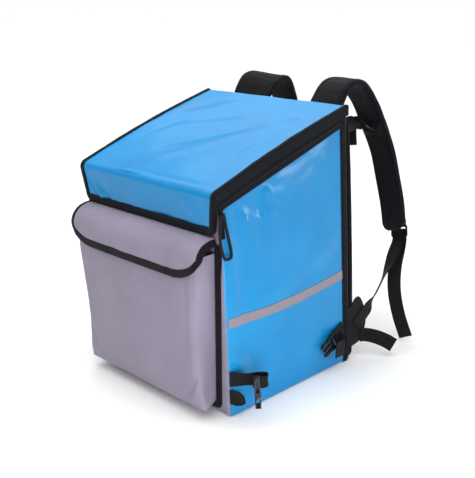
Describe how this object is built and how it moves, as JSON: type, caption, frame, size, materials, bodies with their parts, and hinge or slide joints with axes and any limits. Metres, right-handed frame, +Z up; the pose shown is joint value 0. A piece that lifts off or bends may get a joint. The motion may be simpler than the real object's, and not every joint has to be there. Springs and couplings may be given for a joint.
{
  "type": "insulated delivery backpack",
  "caption": "Box-shaped insulated backpack with a sloping zipped lid, a flapped front pocket, padded shoulder straps and loose buckled side straps, for carrying meals.",
  "frame": {"origin": "middle of the bag's base, on the surface it stands on", "axes": "+X towards the right side as seen facing the pocket, +Y towards the wearer's back, +Z up"},
  "size_m": [0.5659, 0.6017, 0.576],
  "materials": {
    "blue_tarpaulin": "satin",
    "grey_cloth": "matte",
    "black_mesh": "matte",
    "black_binding": "matte",
    "black_webbing": "matte",
    "black_plastic": "satin",
    "reflective_tape": "satin"
  },
  "bodies": {
    "root": {"bottom_panel": "blue_tarpaulin", "side_panel_right": "blue_tarpaulin", "side_panel_left": "blue_tarpaulin", "front_panel": "grey_cloth", "back_pad": "black_mesh", "lid_panel": "blue_tarpaulin", "lid_binding": "black_binding", "zipper_tape_right": "black_binding", "zipper_tape_left": "black_binding", "zipper_coil_right": "black_plastic", "zipper_coil_left": "black_plastic", "zipper_slider_right": "black_plastic", "zipper_slider_left": "black_plastic", "zipper_pull_loop": "black_webbing", "reflective_stripe_right": "reflective_tape", "reflective_stripe_left": "reflective_tape", "pocket_body": "grey_cloth", "pocket_seam_binding": "black_binding", "pocket_flap": "grey_cloth", "flap_binding": "black_binding", "shoulder_pad_right": "black_mesh", "shoulder_pad_left": "black_mesh", "pad_band_right": "black_webbing", "pad_band_left": "black_webbing", "wing_tab_right": "black_webbing", "wing_tab_left": "black_webbing", "ladder_lock_right": "black_plastic", "ladder_lock_left": "black_plastic", "lock_tab_right": "black_webbing", "lock_tab_left": "black_webbing", "adjuster_webbing_right": "black_webbing", "adjuster_webbing_left": "black_webbing", "hip_belt_right": "black_webbing", "hip_belt_left": "black_webbing", "lifter_lock_right": "black_plastic", "lifter_lock_left": "black_plastic", "lifter_strap_right": "black_webbing", "lifter_strap_left": "black_webbing", "lifter_tab_right": "black_webbing", "lifter_tab_left": "black_webbing", "front_strap_right": "black_webbing", "front_strap_end_right": "black_webbing", "buckle_socket_right": "black_plastic", "front_strap_left": "black_webbing", "front_strap_end_left": "black_webbing", "buckle_socket_left": "black_plastic", "rear_strap_right": "black_webbing", "rear_strap_left": "black_webbing", "buckle_plug_right": "black_plastic", "buckle_plug_left": "black_plastic"}
  },
  "joints": []
}
